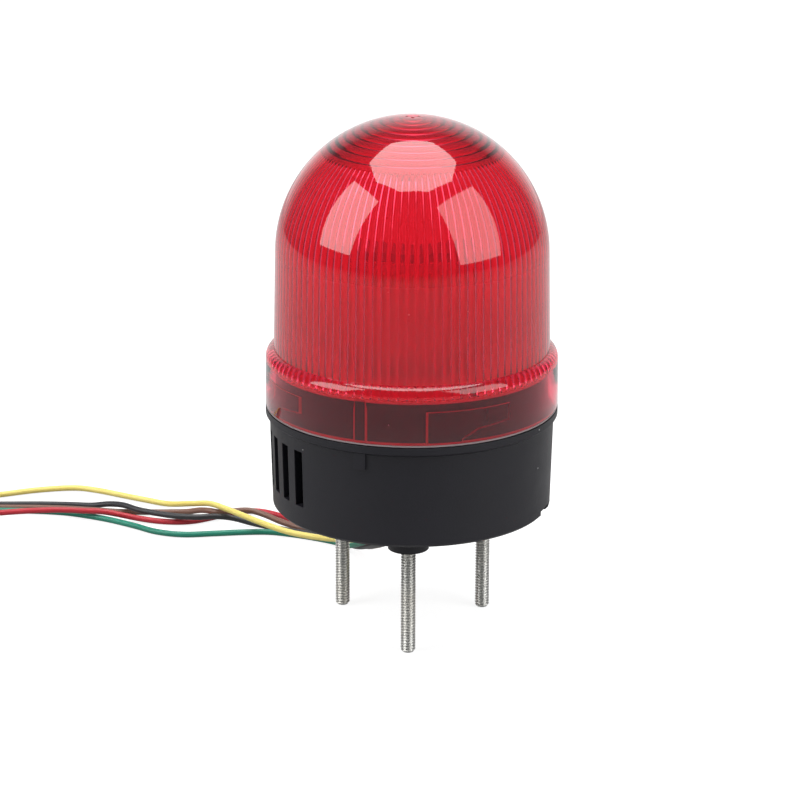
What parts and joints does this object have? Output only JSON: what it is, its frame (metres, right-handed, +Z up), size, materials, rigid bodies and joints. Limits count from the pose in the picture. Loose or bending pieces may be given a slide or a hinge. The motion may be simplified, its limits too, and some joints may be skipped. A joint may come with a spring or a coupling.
{
  "type": "signal beacon with sounder",
  "caption": "Dome warning beacon with a red fluted bayonet lens on a round black sounder base, with threaded mounting studs underneath and coloured flying leads.",
  "frame": {"origin": "centre of the stud circle, on the plane of the bosses that sit on the panel", "axes": "+Z up along the dome's axis, -Y towards the front stud, -X towards the leads' free ends"},
  "size_m": [0.268, 0.1761, 0.1762],
  "materials": {
    "lens_red": "clear red moulded lens, glossy",
    "base_black": "fine-textured black moulding",
    "seal_pale": "pale soft seal",
    "deck_white": "white moulded reflector deck",
    "screw_zinc": "zinc-plated",
    "mast_aluminium": "plain extruded",
    "terminal_cream": "moulded terminal block",
    "inner_lead_white": "soft insulation",
    "board_green": "glass-fibre circuit board with green mask",
    "lamp_board_white": "glass-fibre circuit board with white mask",
    "lamp_white": "lamp package with a clear window",
    "sounder_black": "moulded sounder case",
    "capacitor_blue": "sleeved",
    "regulator_black": "moulded package",
    "grommet_black": "soft black rubber",
    "stud_zinc": "zinc-plated thread",
    "wire_yellow": "soft satin insulation",
    "wire_brown": "soft satin insulation",
    "wire_black": "soft satin insulation",
    "wire_red": "soft satin insulation",
    "wire_green": "soft satin insulation"
  },
  "bodies": {
    "base": {"base_housing": "base_black", "seal_ring": "seal_pale", "deck_plate": "deck_white", "deck_screws": "screw_zinc", "led_mast": "mast_aluminium", "mast_screws": "screw_zinc", "mast_terminal": "terminal_cream", "mast_leads": "inner_lead_white", "led_board_front": "lamp_board_white", "led_board_right": "lamp_board_white", "led_board_back": "lamp_board_white", "led_board_left": "lamp_board_white", "led_emitters_front": "lamp_white", "led_emitters_right": "lamp_white", "led_emitters_back": "lamp_white", "led_emitters_left": "lamp_white", "main_board": "board_green", "board_screws": "screw_zinc", "sounder": "sounder_black", "capacitor": "capacitor_blue", "regulator": "regulator_black", "cable_grommet": "grommet_black", "stud_front": "stud_zinc", "stud_right": "stud_zinc", "stud_left": "stud_zinc", "wire_yellow": "wire_yellow", "wire_brown": "wire_brown", "wire_black": "wire_black", "wire_red": "wire_red", "wire_green": "wire_green"},
    "lens": {"lens": "lens_red"}
  },
  "joints": [
    {"name": "lens_turn", "type": "hinge", "parent": "base", "child": "lens", "pos_m": [0, 0, 0.0424], "axis": [0, 0, 1], "range_deg": [0, 22]}
  ]
}
